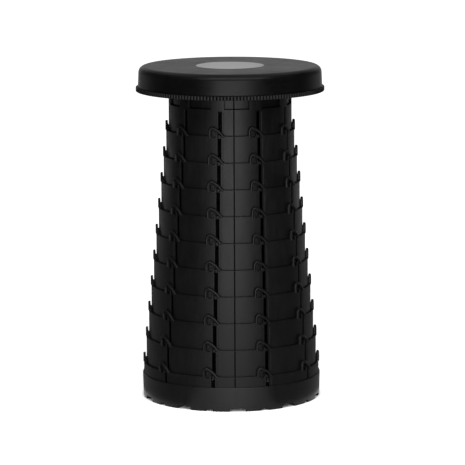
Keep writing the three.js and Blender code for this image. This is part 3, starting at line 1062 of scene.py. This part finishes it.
class STOOL_OT_grip(bpy.types.Operator):
    """Build the ridged grip ring under the seat cover"""

    bl_idname = "stool.grip"
    bl_label = "Grip ring"

    def execute(self, context):
        finish = settings().finish
        low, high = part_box("grip_ring")
        foot, reach = low.z / MM, high.x / MM - 0.03
        rim, root, sleeve, bore = foot + 5.5, 119.6, 119.4, 118.2
        ridges, depth, columns, roundness = finish.grip_ridges, finish.grip_depth / MM, 8, 0.94

        def ripple(turn, radius):
            """Rounded ridges with narrow gaps, on the flange's rim alone."""
            if radius < reach - 2:
                return 0
            share = turn / (2 * math.pi) * ridges % 1 * 2 - 1
            return depth * (math.sqrt(max(0, 1 - roundness * share * share)) - 1)

        shell = Shell()
        turn_profile(shell, [
            (root, rim, 0), (reach, rim, 0.7), (reach, foot, 0.7), (root, foot, 0),
        ], segments=ridges * columns, steps=2, closed=False, ripple=ripple)
        turn_profile(shell, [
            (bore, rim + 12, 0.3), (sleeve, rim + 12, 0.3), (sleeve, rim - 0.5, 0),
            (sleeve + 0.5, rim - 0.5, 0), (sleeve + 0.5, foot + 0.05, 0), (bore, foot + 0.05, 0.3),
        ], segments=120, steps=2)
        for i in range(CATCH_COUNT):
            turn = math.pi / 50 + 2 * math.pi * i / CATCH_COUNT
            add_block(shell, turn, (118.8, 119.95), size=(8, 2), centre=rim + 7, rounding=0.3)
        grip = shell.object("grip_ring_ridged", plastic("Grip Plastic", finish, gloss=(0.4, 0.5)))
        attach(grip, "seat")
        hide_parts("grip_ring")
        return {"FINISHED"}


class STOOL_OT_badge(bpy.types.Operator):
    """Build the round plate let into the seat"""

    bl_idname = "stool.badge"
    bl_label = "Badge"

    def execute(self, context):
        light = tuple(settings().finish.badge_colour)
        dark = tuple(value * 0.8 for value in light)
        low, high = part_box("seat_badge")
        foot, top, rim = low.z / MM, high.z / MM, 45.0
        groove = top - 0.2
        shell = Shell()
        turn_profile(shell, [
            (0, top, 0), (41.2, top, 0), (41.5, groove, 0), (42.1, groove, 0), (42.4, top, 0),
            (rim, top, 0.25), (rim, foot, 0.1), (0, foot, 0),
        ], segments=144, steps=2, closed=False)
        metal_plate = metal("Badge Metal", (dark, light), (0.3, 0.42), 1400, 0.1)
        badge = shell.object("seat_badge_plate", metal_plate)
        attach(badge, "seat")
        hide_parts("seat_badge")
        return {"FINISHED"}


class STOOL_OT_base(bpy.types.Operator):
    """Build the base ring with its castellated feet"""

    bl_idname = "stool.base"
    bl_label = "Base ring"

    def execute(self, context):
        shape, finish = settings().ring, settings().finish
        chain = []
        for sector in range(SECTOR_COUNT):
            for turn, half, depth, flare in NOTCHES:
                spot = sector * SECTOR + math.radians(turn)
                chain += [(spot, across, up) for across, up in notch_line(half, depth, flare)]
        shell = Shell()
        base_band(shell, chain)
        base_underside(shell, chain)
        for profile in (
            [(BASE_BORE, BASE_HEIGHT, 0.5), (BASE_RADIUS - 0.9, BASE_HEIGHT, 0)],
            [(BASE_INNER, BASE_FLOOR, 0), (BASE_BORE, BASE_FLOOR, 0)],
            [(BASE_BORE, BASE_FLOOR, 0), (BASE_BORE, BASE_HEIGHT, 0)],
        ):
            turn_profile(shell, profile, segments=240, steps=2, closed=False)
        turn = slot_turn(shape, RING_COUNT)
        for i in range(SECTOR_COUNT):
            add_block(
                shell, turn + i * SECTOR, (117.6, 116.4), size=(3, 3), centre=BASE_FLOOR + 7.1, rounding=0.2,
            )
        base = shell.object("base_ring_moulded", plastic(
            "Base Plastic", finish, clean=(0.001, 0.001, 0.0011), worn=(0.0028, 0.0028, 0.003),
            gloss=(0.3, 0.42), specular=0.175,
        ))
        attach(base, "base")
        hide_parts("base_ring")
        return {"FINISHED"}


def notch_line(half, depth, flare):
    """Across and up points of one notch between two feet."""
    soft, head = 0.5, half - flare
    return [
        (-half - soft, 0), (-half, 0.12), (-half + flare * 0.5, depth * 0.5), (-head, depth - 0.25),
        (-head + soft, depth), (head - soft, depth), (head, depth - 0.25),
        (half - flare * 0.5, depth * 0.5), (half, 0.12), (half + soft, 0),
    ]


def around(columns):
    """Each column with the next, and the last with the first after a whole turn."""
    turn, up = columns[0]
    return zip(columns, columns[1:] + [(turn + 2 * math.pi, up)])


def base_columns(chain):
    """Turns and heights of the feet's edge, with columns filled in between the notches."""
    columns = [(spot + math.asin(across / BASE_RADIUS), up) for spot, across, up in chain]
    filled = []
    for (turn, up), (next_turn, next_up) in around(columns):
        filled.append((turn, up))
        count = math.ceil((next_turn - turn) / math.radians(1.6))
        for i in range(1, count):
            share = i / count
            filled.append((turn + share * (next_turn - turn), up + share * (next_up - up)))
    return filled


def base_reach(height):
    """Radius of the base's tapered face at a height."""
    return BASE_RADIUS - BASE_TAPER * (1 - height / BASE_HEIGHT)


def base_band(shell, chain):
    """The outer face of the base, from the feet's edge to its rounded top, in (height, inset, lean)."""
    rows = (
        (7.5, 0, 0), (16, 0, 0), (24, 0, 0), (BASE_HEIGHT - 0.9, 0, 0),
        (BASE_HEIGHT - 0.26, 0.26, math.pi / 4), (BASE_HEIGHT, 0.9, math.pi / 2),
    )
    for (turn, up), (next_turn, next_up) in around(base_columns(chain)):
        left, right = ([(foot + BASE_EDGE, 0, 0), *rows] for foot in (up, next_up))
        for k in range(len(rows)):
            corners, normals = [], []
            for spot, (height, depth, lean) in (
                (turn, left[k]), (next_turn, right[k]), (next_turn, right[k + 1]), (turn, left[k + 1]),
            ):
                corners.append(at(base_reach(height) - depth, spot, height))
                normals.append(outward(spot, math.cos(lean), 0, math.sin(lean)))
            shell.face(corners, normals)


def base_underside(shell, chain):
    """The feet and channels under the base."""
    outer = base_columns(chain)
    inner = inner_columns(chain, outer)
    for ((a, up_a), (b, up_b)), ((c, _), (d, _)) in zip(around(outer), around(inner)):
        sides = ((a, c, up_a), (b, d, up_b))
        rows = [
            [at(base_reach(up + BASE_EDGE), turn, up + BASE_EDGE) for turn, _, up in sides],
            [at(BASE_RADIUS - BASE_TAPER - BASE_EDGE, turn, up) for turn, _, up in sides],
            [at(BASE_INNER, turn, up) for _, turn, up in sides],
            [at(BASE_INNER, turn, BASE_FLOOR) for _, turn, _ in sides],
        ]
        for row, following in zip(rows, rows[1:]):
            shell.face([row[0], following[0], following[1], row[1]])


def inner_columns(chain, outer):
    """The same columns at the inner radius, where each channel keeps its width."""
    centres = sorted({spot for spot, _, _ in chain})
    moved = []
    for turn, up in outer:
        centre = min(centres, key=lambda c: abs((turn - c + math.pi) % (2 * math.pi) - math.pi))
        across = math.sin(turn - centre) * BASE_RADIUS
        reach = max(abs(a) for spot, a, _ in chain if spot == centre)
        held = math.copysign(min(abs(across), reach), across)
        extra = math.copysign(max(0, abs(across) - reach), across) / BASE_RADIUS
        moved.append((centre + math.asin(held / BASE_INNER) + extra * 0.7, up))
    for i in range(1, len(moved)):
        if moved[i][0] < moved[i - 1][0]:
            moved[i] = (moved[i - 1][0] + 1e-4, moved[i][1])
    return moved


class STOOL_OT_screws(bpy.types.Operator):
    """Build the five screws that hold the collar"""

    bl_idname = "stool.screws"
    bl_label = "Collar screws"

    def execute(self, context):
        def lobes(turn, radius):
            """Six lobes in the drive, and nowhere else on the screw."""
            return 0.22 * math.cos(6 * turn) if 0.8 < radius < 1.25 else 0

        steel = metal("Screw Steel", ((0.32, 0.32, 0.33), (0.5, 0.5, 0.52)), (0.28, 0.4), 1800, 0.08)
        for i in range(1, SCREW_COUNT + 1):
            low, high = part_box(f"collar_screw_{i}")
            middle = (low + high) / 2 / MM
            foot, top = low.z / MM, high.z / MM
            head, drive = foot + 2.2, foot + 1.4
            shell = Shell()
            turn_profile(shell, [
                (0, top, 0), (0.9, top - 0.2, 0), (1.6, top - 1.2, 0), (1.6, head, 0),
                (3.3, head, 0.1), (3.3, foot + 1.1, 0.5), (2.3, foot, 0.6), (1.2, foot, 0),
                (1.0, drive, 0), (0, drive, 0),
            ], segments=36, closed=False, ripple=lobes)
            shell.move(middle.x, middle.y, 0)
            screw = shell.object(f"collar_screw_{i}_turned", steel)
            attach(screw, "seat")
            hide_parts(f"collar_screw_{i}")
        return {"FINISHED"}


class STOOL_OT_stage(bpy.types.Operator):
    """Set up the camera, the floor and the lamps"""

    bl_idname = "stool.stage"
    bl_label = "Stage"

    def execute(self, context):
        stage = settings().stage
        scene = bpy.context.scene
        scene.view_settings.view_transform = "Standard"
        camera = bpy.data.objects.new("Camera", bpy.data.cameras.new("Camera"))
        camera.data.lens = stage.lens
        camera.data.sensor_width = 36
        camera.data.clip_start, camera.data.clip_end = 0.05, 100
        camera.location = (0, -stage.camera_distance, stage.camera_height)
        camera.rotation_mode = "YXZ"
        camera.rotation_euler = (math.pi / 2 - stage.camera_pitch, 0, -stage.camera_yaw)
        scene.collection.objects.link(camera)
        camera.rotation_euler.rotate_axis("Z", stage.camera_roll)
        scene.camera = camera
        add_floor(scene, stage)
        add_flag(scene, stage)
        add_world(scene, stage.ambient)
        lamps = (
            ("Front Softbox", stage.key_power, (0.04, -1.0, 0.24), (0.72, 0.44), (0.04, 0, 0.24)),
            ("Overhead Strip", stage.top_power, (0.1, -1.05, 1.3), (2.2, 0.13), (0, 0, 0.44)),
            ("Back Left Softbox", stage.back_power, (-0.87, 0.68, 0.22), (0.45, 0.4), (0, 0, 0.22)),
            ("Back Right Softbox", stage.back_power, (0.87, 0.68, 0.22), (0.45, 0.4), (0, 0, 0.22)),
        )
        for name, power, place, size, aim in lamps:
            add_lamp(scene, name, power, Vector(place), size, Vector(aim))
        return {"FINISHED"}


def add_lamp(scene, name, power, place, size, aim):
    """A softbox at a place, turned towards its aim and not seen itself."""
    lamp = bpy.data.lights.new(name, "AREA")
    lamp.shape = "RECTANGLE"
    lamp.size, lamp.size_y = size
    lamp.energy = power
    holder = bpy.data.objects.new(name, lamp)
    holder.location = place
    holder.rotation_euler = (aim - place).to_track_quat("-Z", "Y").to_euler()
    holder.visible_camera = False
    scene.collection.objects.link(holder)


def seen_mask(tree):
    """A node that is 1 for rays from the camera, off gloss and through glass."""
    path = tree.nodes.new("ShaderNodeLightPath")
    total = path.outputs["Is Camera Ray"]
    for name in ("Is Glossy Ray", "Is Transmission Ray"):
        add = tree.nodes.new("ShaderNodeMath")
        add.operation = "ADD"
        add.use_clamp = True
        tree.links.new(total, add.inputs[0])
        tree.links.new(path.outputs[name], add.inputs[1])
        total = add.outputs[0]
    return total


def add_staged(scene, mesh):
    """Puts a mesh of the studio in the scene, where it is no part of the stool."""
    staged = bpy.data.objects.new(mesh.name, mesh)
    scene.collection.objects.link(staged)
    return staged


def add_floor(scene, stage):
    """A pale floor, which its own light lifts to white beside the stool, with a painted shadow inside the
    base: a disc of near-black paint where the stool's own shade falls.
    """
    size = 40.0
    # The first pair of radii is where the floor's paint fades from a painted shadow to its own shade.
    painted_shadow_disc, glow, fade = (0.086, 0.092), (0.116, 0.122), (0.3, 1.3)
    mesh = bpy.data.meshes.new("Floor")
    corners = [(-size, -size, 0), (size, -size, 0), (size, size, 0), (-size, size, 0)]
    mesh.from_pydata(corners, [], [(0, 1, 2, 3)])
    material, tree = new_material("Studio Floor")
    made = add_nodes(tree, {
        "Place": ("ShaderNodeTexCoord", {}, {}),
        "Reach": ("ShaderNodeVectorMath", {"operation": "LENGTH"}, {0: ("Place", "Object")}),
        "Glow Level": ("ShaderNodeMapRange", {}, {
            "Value": ("Reach", "Value"), "From Min": fade[0], "From Max": fade[1],
            "To Min": stage.floor_near, "To Max": stage.floor_far,
        }),
        "Outside": ("ShaderNodeMapRange", {}, {
            "Value": ("Reach", "Value"), "From Min": glow[0], "From Max": glow[1],
        }),
        "Level": ("ShaderNodeMath", {"operation": "MULTIPLY"}, {
            0: ("Glow Level", 0), 1: ("Outside", 0),
        }),
        "Share": ("ShaderNodeMath", {"operation": "MULTIPLY"}, {1: ("Level", 0)}),
        # Painted shadow: inside the base the floor's paint is darkened to near black, in place of the stool's
        # own shade.
        "Shade": ("ShaderNodeMapRange", {}, {
            "Value": ("Reach", "Value"), "From Min": painted_shadow_disc[0], "From Max": painted_shadow_disc[1],
            "To Min": 0.04, "To Max": stage.floor_shade,
        }),
        "Paint": ("ShaderNodeBsdfDiffuse", {}, {"Color": ("Shade", 0)}),
        "Glow": ("ShaderNodeEmission", {}, {"Color": (1, 1, 1, 1), "Strength": ("Share", 0)}),
        "Both": ("ShaderNodeAddShader", {}, {0: ("Paint", 0), 1: ("Glow", 0)}),
        "Out": ("ShaderNodeOutputMaterial", {}, {"Surface": ("Both", 0)}),
    })
    tree.links.new(seen_mask(tree), made["Share"].inputs[0])
    mesh.materials.append(material)
    add_staged(scene, mesh)


def add_flag(scene, stage):
    """Dark cloths, a grey card, a lit low card and a floor cloth round the stool, seen by its gloss alone."""
    cloth, card, floor_cloth, low_card = range(4)
    count = 48
    span = 2 * math.pi - 2 * stage.flag_gap
    points, faces, shades = [], [], []
    for i in range(count + 1):
        turn = stage.flag_gap + span * i / count
        for radius, height in (
            (stage.cloth_start, 0.002), (stage.flag_radius, 0.002),
            (stage.flag_radius, stage.low_card), (stage.flag_radius, stage.flag_height),
        ):
            points.append(Vector(at(radius, turn, height)))
        if i:
            behind = abs(turn - span / count / 2 - math.pi)
            shades += [
                floor_cloth, low_card if behind < stage.low_card_reach else cloth,
                card if behind < stage.card_reach else cloth,
            ]
            for low in range(4 * i - 4, 4 * i - 1):
                faces.append((low, low + 4, low + 5, low + 1))
    mesh = bpy.data.meshes.new("Flag")
    mesh.from_pydata(points, [], faces)
    looks = [
        (name, "ShaderNodeBsdfDiffuse", {"Color": (shade, shade, shade, 1)})
        for name, shade in (
            ("Flag Cloth", stage.flag_shade), ("Grey Card", stage.card_shade),
            ("Floor Cloth", stage.cloth_shade),
        )
    ]
    light = {"Color": (1, 1, 1, 1), "Strength": stage.low_card_level}
    looks.append(("Low Card", "ShaderNodeEmission", light))
    for name, kind, inputs in looks:
        material, tree = new_material(name)
        add_nodes(tree, {
            "Face": (kind, {}, inputs),
            "Out": ("ShaderNodeOutputMaterial", {}, {"Surface": ("Face", 0)}),
        })
        mesh.materials.append(material)
    mesh.polygons.foreach_set("material_index", shades)
    flag = add_staged(scene, mesh)
    for kind in ("camera", "diffuse", "transmission", "shadow"):
        setattr(flag, f"visible_{kind}", False)


def add_world(scene, ambient):
    """Even light on the stool, and plain white behind it."""
    world = bpy.data.worlds.new("Studio")
    scene.world = world
    world.use_nodes = True
    tree = world.node_tree
    tree.nodes.clear()
    made = add_nodes(tree, {
        "Strength": ("ShaderNodeMix", {"data_type": "FLOAT"}, {2: ambient, 3: 1.0}),
        "Sky": ("ShaderNodeBackground", {}, {"Color": (1, 1, 1, 1), "Strength": ("Strength", 0)}),
        "Out": ("ShaderNodeOutputWorld", {}, {"Surface": ("Sky", 0)}),
    })
    tree.links.new(seen_mask(tree), made["Strength"].inputs[0])


class STOOL_PT_pieces(bpy.types.Panel):
    """Lists the stool's pieces"""

    bl_label = "Telescopic Stool"
    bl_idname = "STOOL_PT_pieces"
    bl_space_type = "VIEW_3D"
    bl_region_type = "UI"
    bl_category = "Stool"

    def draw(self, context):
        layout = self.layout
        for operator in OPERATORS:
            layout.operator(operator.bl_idname)


GROUPS = (StoolRingShape, StoolFinish, StoolStage, StoolSettings)
OPERATORS = (
    STOOL_OT_rings, STOOL_OT_collar, STOOL_OT_cover, STOOL_OT_grip, STOOL_OT_badge, STOOL_OT_base,
    STOOL_OT_screws, STOOL_OT_stage,
)


def register():
    for kind in (*GROUPS, *OPERATORS, STOOL_PT_pieces):
        bpy.utils.register_class(kind)
    bpy.types.Scene.stool_settings = bpy.props.PointerProperty(
        type=StoolSettings, name="Stool", description="Settings of the telescopic stool")


def unregister():
    del bpy.types.Scene.stool_settings
    for kind in reversed((*GROUPS, *OPERATORS, STOOL_PT_pieces)):
        bpy.utils.unregister_class(kind)


def main():
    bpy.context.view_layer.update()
    register()
    bpy.ops.stool.rings()
    bpy.ops.stool.collar()
    bpy.ops.stool.cover()
    bpy.ops.stool.grip()
    bpy.ops.stool.badge()
    bpy.ops.stool.base()
    bpy.ops.stool.screws()
    bpy.ops.stool.stage()


if __name__ == "__main__":
    main()
